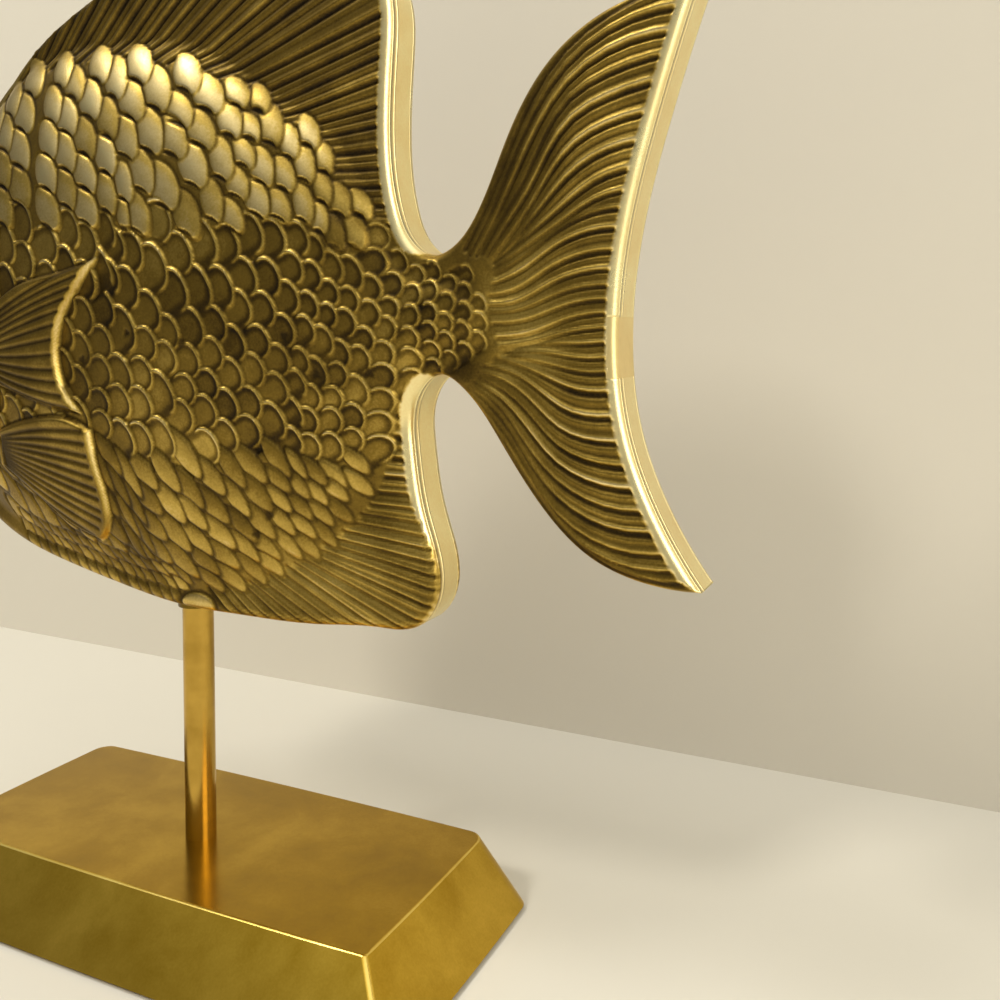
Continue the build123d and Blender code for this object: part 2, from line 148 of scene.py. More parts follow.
# Rays of the tail, from its upper edge to its lower edge
TAIL_GUIDES = [
    [(98, 107), (104, 117.5), (110.5, 131), (118, 146), (127, 157), (139, 164.5), (160, 172)],
    [(101, 104.5), (106.5, 113.5), (113, 127), (121, 141), (129, 150), (139, 156), (157, 158)],
    [(105, 105), (110, 113), (116.7, 122), (122, 132), (129, 141), (138, 145), (154, 148.5)],
    [(107, 103), (114, 110), (121, 119), (128, 127), (137, 132), (151, 134)],
    [(107, 102), (116, 107.3), (126.7, 113.5), (135.6, 119), (149, 121.5)],
    [(108, 99), (116, 103), (124, 108.5), (132, 112), (147, 112)],
    [(106, 92.7), (113, 93.4), (122, 98), (130, 101), (145, 101.6)],
    [(106.7, 89), (115.5, 89.5), (126.7, 93), (144, 94)],
    [(109, 81.5), (119, 83), (127.8, 86.2), (144, 87.5)],
    [(110, 79.5), (122, 81), (131, 80), (144, 81.8)],
    [(110, 79), (116.7, 76.8), (124.4, 74.5), (132, 72.9), (144, 74.5)],
    [(103, 75), (112, 73), (119, 68), (126.7, 62.3), (134.4, 60.7), (146, 62.3)],
    [(102, 72.3), (111, 67.3), (117.8, 60.7), (124.4, 54), (133.3, 50), (149, 49.5)],
    [(100, 70), (106.7, 66), (114.4, 56), (122, 47.3), (130, 41.8), (137.8, 39), (152, 39.5)],
    [(100, 68), (106, 61.5), (113, 53), (121, 40.7), (127.8, 34), (135.6, 30), (156, 29)],
    [(92, 72), (100, 64.5), (110, 53), (120, 40.5), (128, 32), (138, 26), (159, 23.5)],
]

# Columns of scales: places along the fish at five levels, then the height of each scale
LEVELS = (30, 60, 90, 120, 150)
COLUMNS = [
    ((-74, -73, -72, -74, -78), (40, 50, 60, 70, 80, 90, 101, 113, 125, 137, 149, 161)),
    ((-66, -65, -64, -66, -71), (24, 34, 45, 55, 65, 75, 85, 96, 108, 119, 131, 143, 155)),
    ((-58, -57, -56, -58, -63), (21, 30, 40, 50, 60, 70, 80, 90, 101, 113, 125, 137, 149, 161)),
    ((-50, -49, -48, -50, -55), (26, 36, 46, 56, 66, 76, 86, 96, 107, 119, 131, 143, 155, 167)),
    ((-43, -42, -38, -38, -41.4), (20, 30, 40, 50, 60, 70, 80, 90, 101, 112, 123, 134.5, 145.1, 156.4, 168)),
    ((-35, -34, -30, -29, -34), (15, 25, 35, 45, 55, 65, 75, 85, 95, 106, 117, 128.9, 140.1, 152, 163)),
    ((-28, -27, -23, -22, -25.5),
     (12, 22, 31, 40, 50, 60, 70, 80, 90, 101, 112, 123.3, 133.3, 144.5, 156.4, 168)),
    ((-21, -20, -15, -13.5, -17.2),
     (17, 26, 35, 44, 54, 64, 74, 84, 94, 105, 116, 126.4, 138.3, 149.5, 162.6)),
    ((-13, -19, -15, -7, -9.3),
     (12, 21, 30, 39, 48, 57, 63.8, 73.1, 82, 92, 101.9, 111, 120, 129.5, 143.3, 154.5, 166)),
    ((-9, -10.5, -7.5, -2.5, -0.2),
     (16, 25, 34, 43.5, 54, 64.4, 73.1, 86.3, 98.1, 109, 120.5, 132.6, 144.5, 157.6)),
    ((-4.5, -3, 1.6, 5.5, 9),
     (12, 20, 28, 36, 44.5, 53.1, 63.8, 73, 82, 91.3, 104.4, 117, 127.6, 142, 150.1, 161.4)),
    ((4.4, 5, 10, 15, 17.5), (17, 26, 35.6, 45, 54.4, 67.5, 78.1, 85, 96.9, 108, 119.5, 133.3, 143.9, 154.5)),
    ((12.8, 11.8, 17.8, 23, 26.8),
     (11, 17, 24.4, 32.5, 40, 50.6, 60.6, 68.8, 76.9, 86.9, 98.1, 111.4, 122.6, 134.5, 145.8, 153.9)),
    ((20.3, 20, 25.4, 29.5, 33.8),
     (13, 20, 26.9, 35.6, 43.8, 52.5, 62.5, 70, 78.8, 87.5, 98.1, 110, 118.3, 127.6, 136, 143.6, 152)),
    ((28.8, 27.3, 32.8, 36.8, 39.6),
     (16, 23, 30, 38.1, 46.9, 55.6, 64.4, 73.1, 81.9, 91.9, 100.6, 112.6, 122.6, 132, 143.9)),
    ((35.1, 34, 39.8, 44.2, 46),
     (18, 23.8, 31.3, 40, 48.1, 56.9, 65, 74.4, 82.5, 91.3, 100.6, 111.4, 120.8, 129, 138.5)),
    ((42.3, 42.5, 46.9, 51.5, 50),
     (25, 31.9, 38.1, 44, 50, 60.6, 69.4, 77.5, 85.6, 94.4, 103.1, 111.4, 120.8, 132, 141.4)),
    ((48.1, 49.2, 54, 57, 56),
     (24.5, 30.6, 36.3, 42.5, 48.8, 55, 63, 71.3, 77.5, 85.6, 92.5, 100.6, 107.6, 116.4, 124.5, 133)),
    ((54.4, 53, 60, 62, 60),
     (28.8, 35, 40.6, 46.9, 53.1, 60.6, 66.9, 73.8, 83.1, 89.4, 95.6, 103.1, 112.6, 121.4)),
    ((60, 60, 65.4, 67.4, 66),
     (35.6, 41.3, 46.3, 53.8, 60.6, 66.9, 73.1, 79.4, 87.5, 93.8, 101.3, 112.6, 120)),
    ((66, 66.7, 71.9, 73, 72), (44, 50, 56, 61.9, 69.4, 77.5, 83.1, 90, 96.5, 104, 111)),
    ((72, 73.2, 77.5, 80, 80), (53, 59.4, 65.6, 72.5, 78.8, 85.6, 91.3, 97.5, 104)),
    ((83, 83, 83.5, 84, 84), (72, 77.5, 83.5, 89, 94.5, 100)),
    ((89, 89, 89, 89, 89), (75, 80.2, 85, 90, 95.5, 101)),
    ((94, 94, 94, 94, 94), (77.5, 82.5, 87.5, 92.5, 97.5)),
    ((99, 99, 99, 99, 99), (80, 85, 90, 95, 100)),
    ((103, 103, 103, 103, 103), (82.5, 87.5, 92.5)),
]
# Where the next column would be, and the spacings between which a column gets scales
BEYOND_TAIL = 107.0
NARROWEST, WIDEST = 2.5, 9.5
# Rows of small scales along the underside, and the bulge over the rod
BELLY_START, BELLY_END = -66.0, 3.0
BELLY_ROWS, BELLY_STEP, BELLY_RISE = 3, 4.4, 4.1
BOSS_X, BOSS_LEVEL = 7.0, 2.6
# Pits: place, size and depth; darker and brighter patches: place, half sizes, strength and tone
PITS = [
    (-6, 85, 1.0, 0.5), (56.5, 73.5, 1.5, 0.25), (38.5, 33, 1.3, 0.3),
    (33.5, 27, 1.1, 0.3), (91.8, 25, 0.7, 0.4),
    (-24, 77, 1.2, 0.2), (14, 82, 1.3, 0.2), (47, 84, 1.2, 0.2), (72, 74, 1.2, 0.2),
]
TONE_PATCHES = [
    (99, 74.5, 7, 4, 0.75, 0.92), (20, 86, 14, 9, 0.22, 0.92), (52, 76, 16, 10, 0.22, 0.92),
    (-20, 76, 12, 14, 0.25, 0.92), (110, 120, 6, 16, 0.3, 0.92), (98, 96, 5, 14, 0.3, 0.92),
    (68, 122, 16, 24, 0.22, 0.92), (-12, 22, 18, 10, 0.22, 0.92),
    (116, 88, 13, 17, 0.34, 0.22), (60, 14, 28, 14, 0.3, 0.22), (84, 40, 8, 16, 0.22, 0.22),
]

# Tones, 0 bright to 1 dark: of plain brass, head, side fins and slots; the slot tone also serves as the
# painted shadow under the pads
PLAIN_TONE = 0.66
HEAD_TONE, SIDE_FIN_TONE = 0.42, 0.60
SLOT_AND_SHADOW_TONE = 0.98
# Tones of the bright band and of the edge itself, and how much painted light from the window side makes them
# brighter where they face the tail
BAND_TONE, BAND_PAINTED_LIGHT = 0.30, 0.22
EDGE_TONE, EDGE_PAINTED_LIGHT = 0.34, 0.24
# Width of the bright band, and what it gains where the outline faces the tail
BAND_LEAST, BAND_MORE = 0.5, 2.4


# Curves and fields


def on_fish(shares):
    """Point of the side view in millimetres, from shares."""
    return shares[0] * FISH_LENGTH, shares[1] * FISH_HEIGHT


def slopes_of(knots, values):
    """Slopes of the smooth curve through values at knots."""
    gaps = np.diff(knots)
    rates = np.diff(values, axis=0) / gaps[:, None]
    count = len(knots)
    system = np.eye(count)
    right = np.zeros_like(values)
    for i in range(1, count - 1):
        system[i, i - 1 : i + 2] = gaps[i], 2 * (gaps[i - 1] + gaps[i]), gaps[i - 1]
        right[i] = 3 * (gaps[i] * rates[i - 1] + gaps[i - 1] * rates[i])
    if count == 2:
        right[:] = rates[0]
    else:
        right[0] = rates[0] + (rates[0] - rates[1]) * gaps[0] / (gaps[0] + gaps[1])
        right[-1] = rates[-1] + (rates[-1] - rates[-2]) * gaps[-1] / (gaps[-1] + gaps[-2])
    return np.linalg.solve(system, right)


def curve_at(knots, values, at):
    """Places on the smooth curve through values at knots."""
    slopes = slopes_of(knots, values)
    low = np.clip(np.searchsorted(knots, at, side="right") - 1, 0, len(knots) - 2)
    gap = (knots[low + 1] - knots[low])[:, None]
    t = (at[:, None] - knots[low][:, None]) / gap
    ends = (2 * t**3 - 3 * t**2 + 1) * values[low] + (3 * t**2 - 2 * t**3) * values[low + 1]
    return ends + (t**3 - 2 * t**2 + t) * gap * slopes[low] + (t**3 - t**2) * gap * slopes[low + 1]


def run_along(points):
    """How far along a line of points each of them is."""
    return np.concatenate([[0], np.cumsum(np.hypot(*np.diff(points, axis=0).T))])


def smooth(points, spacing):
    """Even points on the smooth curve through points."""
    points = np.array(points, float)
    knots = run_along(points)
    count = max(2, round(knots[-1] / spacing) + 1)
    return curve_at(knots, points, np.linspace(0, knots[-1], count))


def fish_line(table, spacing):
    """Even points on the smooth curve through a table of shares."""
    return smooth([on_fish(shares) for shares in table], spacing)


def closed_view(tables, spacing):
    """Closed ring of points through tables of shares that follow each other."""
    return np.concatenate([fish_line(table, spacing)[:-1] for table in tables])


def mouth_points():
    """Outline of the slot between the lips, from under it to over it."""
    snout, level = on_fish(FOREHEAD[0])
    half = MOUTH_HEIGHT / 2
    end = snout + MOUTH_LENGTH - half
    run = np.linspace(snout + MOUTH_INSET, end, 16)
    turn = np.radians([-60, -30, 0, 30, 60])
    under = np.stack([run, np.full(run.size, level - half)], 1)
    bend = np.stack([end + half * np.cos(turn), level + half * np.sin(turn)], 1)
    over = np.stack([run[::-1], np.full(run.size, level + half)], 1)
    return np.concatenate([under, bend, over])


def fish_outline(spacing):
    """Ring of points round the side view, with the slot of the mouth cut in."""
    ring = closed_view((FOREHEAD, BACK, TAIL_EDGE, UNDERSIDE), spacing)
    snout, level = on_fish(FOREHEAD[0])
    clear = (ring[:, 0] > snout + 3) | (np.abs(ring[:, 1] - level) > MOUTH_HEIGHT * 0.75)
    return np.concatenate([ring[clear], mouth_points()])


def ease(low, high, value):
    """Smooth step from 0 at low to 1 at high."""
    t = np.clip((value - low) / (high - low), 0, 1)
    return t * t * (3 - 2 * t)


def swell_rows():
    """Low edge, high edge and half thickness of the body at close steps along it."""
    table = np.array(SWELL)
    knots = table[:, 0] * FISH_LENGTH
    values = np.stack([table[:, 1] * FISH_HEIGHT, table[:, 2] * FISH_HEIGHT, table[:, 3] * HALF_BODY], 1)
    at = np.arange(knots[0], knots[-1], 0.5)
    return at, curve_at(knots, values, at)


def dome(x, w):
    """Half thickness of the body at a place, 0 outside it."""
    at, rows = swell_rows()
    low, high, thick = (np.interp(x, at, rows[:, k]) for k in range(3))
    off = (w - (low + high) / 2) / ((high - low) / 2)
    ends = ease(at[0] - 0.8, at[0] + 0.8, x) * ease(at[-1] + 0.8, at[-1] - 0.8, x)
    return thick * np.sqrt(np.clip(1 - off**2, 0, 1)) * ends


def near(points, x, w):
    """Distance of every place to a line of points, and how far along it the nearest one is."""
    best = np.full(x.shape, 1e9)
    along = np.zeros(x.shape)
    steps = np.diff(points, axis=0)
    lengths = np.maximum(np.hypot(steps[:, 0], steps[:, 1]), 1e-6)
    total = lengths.sum()
    done = 0.0
    for start, step, length in zip(points, steps, lengths):
        t = np.clip(((x - start[0]) * step[0] + (w - start[1]) * step[1]) / length**2, 0, 1)
        away = np.hypot(x - start[0] - t * step[0], w - start[1] - t * step[1])
        closer = away < best
        best = np.where(closer, away, best)
        along = np.where(closer, (done + t * length) / total, along)
        done += length
    return best, along


def within(ring, x, w):
    """True at the places inside a closed ring."""
    inside = np.zeros(x.shape, bool)
    for (x1, w1), (x2, w2) in zip(ring, np.roll(ring, -1, axis=0)):
        if w1 != w2:
            crosses = (w1 > w) != (w2 > w)
            inside ^= crosses & (x < (x2 - x1) * (w - w1) / (w2 - w1) + x1)
    return inside


class Canvas:
    """Relief in millimetres and tone, 0 bright to 1 dark, over the side view."""

    def __init__(self):
        self.x = np.arange(*CANVAS_X, CELL)
        self.w = np.arange(*CANVAS_W, CELL)
        shape = (self.w.size, self.x.size)
        self.relief = np.zeros(shape)
        self.tone = np.full(shape, PLAIN_TONE)
        self.rim, self.facing = self.measure_rim()
        self.band = self.band_width()

    def measure_rim(self):
        """Distance of each place from the outline, and how far the outline there faces the tail."""
        ring = fish_outline(1.0)
        outward = -inward_of(ring)
        xs, ws = np.arange(*CANVAS_X, COARSE), np.arange(*CANVAS_W, COARSE)
        gx, gw = np.meshgrid(xs, ws)
        best = np.full(gx.shape, 1e9)
        facing = np.zeros(gx.shape)
        for (px, pw), (nx, _) in zip(ring, outward):
            away = (gx - px) ** 2 + (gw - pw) ** 2
            facing = np.where(away < best, nx, facing)
            best = np.minimum(best, away)
        return self.finer(np.sqrt(best), xs, ws), self.finer(facing, xs, ws)

    def finer(self, coarse, xs, ws):
        """A coarse field read at the cells of the canvas."""
        rows = np.stack([np.interp(self.x, xs, row) for row in coarse])
        return np.stack([np.interp(self.w, ws, column) for column in rows.T], 1)

    def band_width(self):
        """Width of the plain bright band along the edges that face the tail."""
        x, w = np.meshgrid(self.x, self.w)
        under_tail = ease(46, 24, w) * ease(60, 75, x) * (x < 110)
        return BAND_LEAST + BAND_MORE * ease(0.35, 0.8, self.facing) * (1 - under_tail)

    def window(self, x_low, x_high, w_low, w_high):
        """Places and slices of the part of the canvas in a box."""
        i = slice(*np.searchsorted(self.x, (x_low, x_high)))
        j = slice(*np.searchsorted(self.w, (w_low, w_high)))
        x, w = np.meshgrid(self.x[i], self.w[j])
        return x, w, (j, i)

    def around(self, points, reach):
        """Window round a line of points."""
        low, high = np.min(points, axis=0) - reach, np.max(points, axis=0) + reach
        return self.window(low[0], high[0], low[1], high[1])

    def lay(self, part, cover, relief=None, tone=None):
        """Lays relief and tone over a part, as far as cover."""
        if relief is not None:
            self.relief[part] += (relief - self.relief[part]) * cover
        if tone is not None:
            self.tone[part] += (tone - self.tone[part]) * cover

    def read(self, field, x, w):
        """Value of a field at places, between its cells."""
        u = np.clip((x - self.x[0]) / CELL, 0, self.x.size - 1.001)
        v = np.clip((w - self.w[0]) / CELL, 0, self.w.size - 1.001)
        i, j = u.astype(int), v.astype(int)
        s, t = u - i, v - j
        low = field[j, i] * (1 - s) + field[j, i + 1] * s
        return low * (1 - t) + (field[j + 1, i] * (1 - s) + field[j + 1, i + 1] * s) * t


def stroke(canvas, points, width, height, tone, strength=1.0, taper=0.0):
    """Ridge, or groove where height is below 0, along a line, kept out of the bright edge band."""
    x, w, part = canvas.around(points, width * 3)
    away, along = near(points, x, w)
    shape = np.exp(-((away / width) ** 2)) * ease(-0.4, 0.4, canvas.rim[part] - canvas.band[part])
    if taper:
        shape *= ease(0, taper, along)
    canvas.relief[part] += height * shape
    canvas.lay(part, np.clip(shape * strength, 0, 1), None, tone)


# Fins


def dorsal_ray(share):
    """Line of one ray of the dorsal fin, at a share of the way along its foot."""
    table = np.array(DORSAL_FOOT, float)
    run = run_along(table[:, :2])
    x, w, slope = (np.interp(share * run[-1], run, table[:, k]) for k in range(3))
    direction = np.array([math.cos(math.radians(slope)), math.sin(math.radians(slope))])
    reach = min(DORSAL_REACH, DORSAL_ROOT + (DORSAL_REAR - x) / max(direction[0], 0.1))
    start = np.array([x, w]) - direction * DORSAL_ROOT
    return np.array([start + direction * step for step in np.linspace(0, reach, 6)])


def paint_rays(canvas, lines, groove_width, rng, ridge_tone, crest_highlight_tone):
    """Grooves along lines; between two of them a finer one, a ridge and a crest with a painted highlight."""
    for line, following in zip(lines, lines[1:] + [None]):
        wide = groove_width * rng.uniform(0.8, 1.3)
        stroke(canvas, line, wide, -rng.uniform(0.6, 0.9), SLOT_AND_SHADOW_TONE)
        if following is None:
            continue
        step = following - line
        fine = line + step * rng.uniform(0.40, 0.52)
        stroke(canvas, fine, 0.5, -rng.uniform(0.15, 0.4), 0.88, rng.uniform(0.35, 0.8))
        ridge = line + step * rng.uniform(0.22, 0.30)
        stroke(canvas, ridge, 0.7, 0.15, ridge_tone + rng.uniform(-0.06, 0.10), 0.6)
        # Crest with a painted highlight along it
        crest = line + step * rng.uniform(0.72, 0.80)
        stroke(canvas, crest, 0.62, 0.4, crest_highlight_tone + rng.uniform(-0.06, 0.14), rng.uniform(0.6, 1.0))


def paint_dorsal(canvas, rng):
    """Fan of the dorsal fin."""
    uneven = [rng.uniform(-0.003, 0.003) for _ in range(DORSAL_RAYS)]
    shares = np.linspace(0, 1, DORSAL_RAYS) + np.array(uneven)
    lines = [dorsal_ray(share) for share in shares]
    paint_rays(canvas, lines, groove_width=0.8, rng=rng, ridge_tone=0.58, crest_highlight_tone=0.46)


def paint_anal(canvas, rng):
    """Rays of the anal fin."""
    guides = np.array(ANAL_GUIDES, float)
    numbers = range(len(guides))
    lines = []
    for place in np.linspace(0, len(guides) - 1, ANAL_RAYS):
        foot, end = (np.array([np.interp(place, numbers, guides[:, e, c]) for c in (0, 1)]) for e in (0, 1))
        lines.append(np.array([foot + (end - foot) * t for t in np.linspace(-0.05, 1.15, 5)]))
    paint_rays(canvas, lines, groove_width=0.7, rng=rng, ridge_tone=0.37, crest_highlight_tone=0.20)


def tail_line(share):
    """Ray of the tail at a place between its guides."""
    low = min(int(share), len(TAIL_GUIDES) - 2)
    first, second = (resampled(TAIL_GUIDES[low + k], 14) for k in (0, 1))
    return first + (second - first) * (share - low)


def resampled(points, count):
    """Count even points on the smooth curve through points."""
    fine = smooth(points, 0.5)
    run = run_along(fine)
    at = np.linspace(0, run[-1], count)
    return np.stack([np.interp(at, run, fine[:, k]) for k in (0, 1)], 1)


def paint_tail(canvas, rng):
    """Wavy rays of the tail."""
    shares = np.arange(0.3, len(TAIL_GUIDES) - 1.1, 0.5)
    lines = [tail_line(share) for share in shares]
    paint_rays(canvas, lines, groove_width=0.75, rng=rng, ridge_tone=0.55, crest_highlight_tone=0.15)


# Scales


def column_place(places, level):
    """Place of a column of scales at a level."""
    return float(np.interp(level, LEVELS, places))


def zone_of(x, w):
    """How far a place is in the pillow zone, the hollow zone and the flat zone."""
    line = 118 - 6 * np.clip(x / 65, 0, 1) + 2 * np.clip(-x / 45, 0, 1)
    pillow = float(ease(line - 5, line + 5, w))
    flat = float(ease(58, 46, w)) * (1 - pillow)
    return pillow, 1 - pillow - flat, flat


def turned(x, w, slope):
    """Places along and across a direction that slopes up towards the tail."""
    along = x * math.cos(slope) + w * math.sin(slope)
    across = w * math.cos(slope) - x * math.sin(slope)
    return along, across


def scale_list():
    """Every scale: place, spacing along and up the fish, from the tail to the head."""
    scales = []
    for number, (places, heights) in enumerate(COLUMNS):
        for i, level in enumerate(heights):
            x = column_place(places, level)
            pitches = [abs(heights[k] - level) for k in (i - 1, i + 1) if 0 <= k < len(heights)]
            if number + 1 < len(COLUMNS):
                following = column_place(COLUMNS[number + 1][0], level)
            else:
                following = BEYOND_TAIL
            if following - x > NARROWEST:
                scales.append((number, x, level, min(following - x, WIDEST), sum(pitches) / len(pitches)))
    scales.sort(key=lambda scale: (-scale[0], -scale[2]))
    return [scale[1:] for scale in scales]


# Half size of each kind of scale as shares of the spacing, and its tone
PILLOW_HALF, PILLOW_TONE = (0.60, 0.52), 0.25
HOLLOW_HALF, HOLLOW_TONE = (0.56, 0.61), 0.66
FLAT_HALF, FLAT_TONE = (0.56, 0.52), 0.54
HOLLOW_SLOPE = math.radians(29)
# Tone of the painted highlight on raised rims
RIM_HIGHLIGHT_TONE = 0.24
# Dark of the grooves round the flat tiles, and of the painted shadow just outside each scale's edge on its
# tail side
GROOVE_AND_SHADOW_TONE = 0.90
# What the tone of each kind gains where it stands among the others
PILLOW_AMONG, HOLLOW_AMONG, FLAT_AMONG = 0.30, -0.22, 0.12
# How far a scale strays from its place and tone, and from the kind of its zone
STRAY, SHADE_STRAY, KIND_STRAY = 0.35, 0.10, 0.15


def pillow_scale(x, w, pitch_x, pitch_w, shade):
    """Tall convex pad with a slanting lower edge: cover, relief and tone, with painted shade on its top, sides
    and edges.
    """
    half_x, half_w = pitch_x * PILLOW_HALF[0], pitch_w * PILLOW_HALF[1]
    side = (x + 0.16 * w) / half_x
    rise = (w + 0.50 * x) / half_w
    radius = (np.abs(side) ** 2.4 + np.abs(rise) ** 2.6) ** (1 / 2.5)
    inside = (1 - radius) * half_x
    relief = 0.95 * np.sqrt(np.clip(1 - radius**2, 0, 1)) - 0.40 * rise - 0.30
    # Painted shade: darker towards the top, the sides and the edges of the pad
    tone = PILLOW_TONE + shade + 0.26 * ease(0.0, 1.0, rise) + 0.16 * side**2 + 0.30 * ease(0.55, 0.0, inside)
    return np.clip(0.5 + inside / 0.5, 0, 1), relief, tone


def hollow_scale(x, w, pitch_x, pitch_w, shade):
    """Dished leaf with a thin raised rim above and towards the tail, the rim carrying a painted highlight:
    cover, relief and tone.
    """
    half_x, half_w = pitch_x * HOLLOW_HALF[0], pitch_w * HOLLOW_HALF[1]
    along, across = turned(x, w, HOLLOW_SLOPE)
    radius = (np.abs(np.maximum(along, 0) / half_x) ** 2.1 + np.abs(across / half_w) ** 2.1) ** (1 / 2.1)
    inside = (1 - radius) * min(half_x, half_w)
    upper = ease(-0.95, 0.55, across / half_w)
    # The rim stands higher and carries a stronger painted highlight along its upper part, where light from
    # above falls
    rim = ease(0.85, 0.4, inside) * ease(-0.45, 0.1, along / half_x) * (0.6 + 0.4 * upper)
    relief = -0.45 + 0.30 * along / half_x + (0.48 + 0.15 * upper) * rim
    tone = HOLLOW_TONE + shade + 0.24 * ease(2.4, 0.9, inside)
    tone = tone + (RIM_HIGHLIGHT_TONE - tone) * rim
    return np.clip(0.5 + inside / 0.4, 0, 1), relief, tone


def flat_scale(x, w, pitch_x, pitch_w, shade):
    """Low slanted tile with narrow grooves round it: cover, relief and tone."""
    half_x, half_w = pitch_x * FLAT_HALF[0], pitch_w * FLAT_HALF[1]
    leaning = x + 0.30 * w
    tilted = w + 0.50 * pitch_w / pitch_x * x
    radius = (np.abs(leaning / half_x) ** 2.6 + np.abs(tilted / half_w) ** 2.6) ** (1 / 2.6)
    inside = (1 - radius) * min(half_x, half_w)
    plateau = ease(-0.1, 1.3, inside)
    relief = -0.40 + 0.55 * plateau - 0.20 * tilted / half_w + 0.12 * leaning / half_x
    tone = GROOVE_AND_SHADOW_TONE + (FLAT_TONE + shade - GROOVE_AND_SHADOW_TONE) * ease(0.0, 0.7, inside)
    tone = tone + 0.12 * tilted / half_w * plateau
    return np.clip(0.5 + inside / 0.4, 0, 1), relief, tone


def paint_scale(canvas, scale, rng):
    """One scale, laid over the ones behind it."""
    x0, w0, pitch_x, pitch_w = scale
    x0 += rng.uniform(-STRAY, STRAY)
    w0 += rng.uniform(-STRAY, STRAY)
    shade = rng.uniform(-SHADE_STRAY, SHADE_STRAY)
    x, w, part = canvas.window(x0 - 2.4 * pitch_x, x0 + 1.4 * pitch_x, w0 - 1.1 * pitch_w, w0 + 1.1 * pitch_w)
    x, w = x - x0, w - w0
    fade = ease(-1.7 * pitch_x, -1.2 * pitch_x, x)
    shares = zone_of(x0, w0)
    kind = max(range(3), key=lambda k: shares[k] + rng.uniform(-KIND_STRAY, KIND_STRAY))
    shape = (pillow_scale, hollow_scale, flat_scale)[kind]
    cover, relief, tone = shape(x, w, pitch_x, pitch_w, shade)
    cover = cover * fade
    among = (PILLOW_AMONG * shares[1], HOLLOW_AMONG * (shares[0] + shares[2]), FLAT_AMONG * shares[1])
    tone = tone + among[kind]
    # Painted shadow in a thin groove just outside the scale's edge, on its tail side
    shadow = (widened(cover) - cover) * ease(-0.5 * pitch_x, 0.1 * pitch_x, x) * (0.8 if kind == 1 else 1)
    canvas.lay(part, shadow, canvas.relief[part] - 0.2, GROOVE_AND_SHADOW_TONE)
    canvas.lay(part, cover, relief, np.clip(tone, 0, 1))


def widened(cover):
    """Cover spread a little way past its edge."""
    wide = cover.copy()
    for shift in (1, 2, 3):
        for axis in (0, 1):
            for way in (-shift, shift):
                wide = np.maximum(wide, np.roll(cover, way, axis) * (1 - shift / 5))
    return wide


GAP_SLOPE = math.radians(-24)
GAP_DEPTH = 0.55


def paint_gap_shadow(canvas, scale, rng):
    """Groove under the lower edge of a pad, darkened as a painted shadow."""
    x0, w0, pitch_x, pitch_w = scale
    pillow = zone_of(x0, w0)[0]
    if pillow < 0.3:
        return
    long_half, thick = pitch_x * rng.uniform(0.46, 0.6), rng.uniform(0.55, 1.05)
    x, w, part = canvas.window(x0 - pitch_x, x0 + pitch_x, w0 - pitch_w, w0)
    along, across = turned(x - x0 - 0.3, w - w0 + pitch_w * 0.5, GAP_SLOPE)
    bow = across - 0.9 * (1 - (along / long_half) ** 2) + 0.45
    # Painted shadow in the groove under the pad's lower edge
    slot = ease(1.0, 0.45, np.hypot(along / long_half, bow / thick))
    canvas.lay(part, slot * pillow, canvas.relief[part] - GAP_DEPTH, SLOT_AND_SHADOW_TONE)


def belly_scales():
    """Small scales in rows along the underside, in front of the rod."""
    ring = fish_outline(1.0)
    edge = ring[(ring[:, 1] < 40) & (ring[:, 0] > BELLY_START - 8) & (ring[:, 0] < BELLY_END + 8)]
    edge = edge[np.argsort(edge[:, 0])]
    scales = []
    for row in reversed(range(BELLY_ROWS)):
        for x in np.arange(BELLY_END - BELLY_STEP / 2 * (row % 2), BELLY_START, -BELLY_STEP):
            level = np.interp(x, edge[:, 0], edge[:, 1]) + 2.4 + BELLY_RISE * row
            scales.append((x, level, 5.0, 4.8))
    return scales


def paint_boss(canvas):
    """Plain bulge that the rod goes into, with a dark groove under it that holds a painted shadow."""
    x, w, part = canvas.window(BOSS_X - 12, BOSS_X + 12, -3, 12)
    radius = np.hypot((x - BOSS_X) / 6.4, (w - BOSS_LEVEL) / 3.6)
    # Groove round the lower side of the bulge, darkened as a painted shadow above the rod
    canvas.lay(part, ease(1.45, 1.05, radius) * ease(-4.5, 0, w - BOSS_LEVEL), -0.55, 0.9)
    canvas.lay(part, ease(1.05, 0.9, radius), 0.15 + 0.45 * np.clip(1 - radius**2, 0, 1), 0.36)


def paint_marks(canvas, rng):
    """Casting pits, and darker and brighter patches."""
    for x0, w0, size, depth in PITS:
        x, w, part = canvas.window(x0 - 3 * size, x0 + 3 * size, w0 - 3 * size, w0 + 3 * size)
        ragged = 1 + 0.25 * np.sin(3 * np.arctan2(w - w0, x - x0) + rng.uniform(0, 6))
        spot = ease(1.4, 0.5, np.hypot(x - x0, w - w0) / size / ragged)
        canvas.lay(part, spot * 0.85, canvas.relief[part] - depth, 0.97)
    for x0, w0, half_x, half_w, strength, tone in TONE_PATCHES:
        x, w, part = canvas.window(x0 - 2 * half_x, x0 + 2 * half_x, w0 - 2 * half_w, w0 + 2 * half_w)
        spot = ease(1.6, 0.2, np.hypot((x - x0) / half_x, (w - w0) / half_w))
        canvas.lay(part, spot * strength, None, tone)


def paint_scales(canvas, rng):
    """All scales, each over the next one towards the tail, then the painted shadow under each pad."""
    scales = scale_list() + belly_scales()
    for scale in scales:
        paint_scale(canvas, scale, rng)
    for scale in scales:
        paint_gap_shadow(canvas, scale, rng)


# Head and side fins


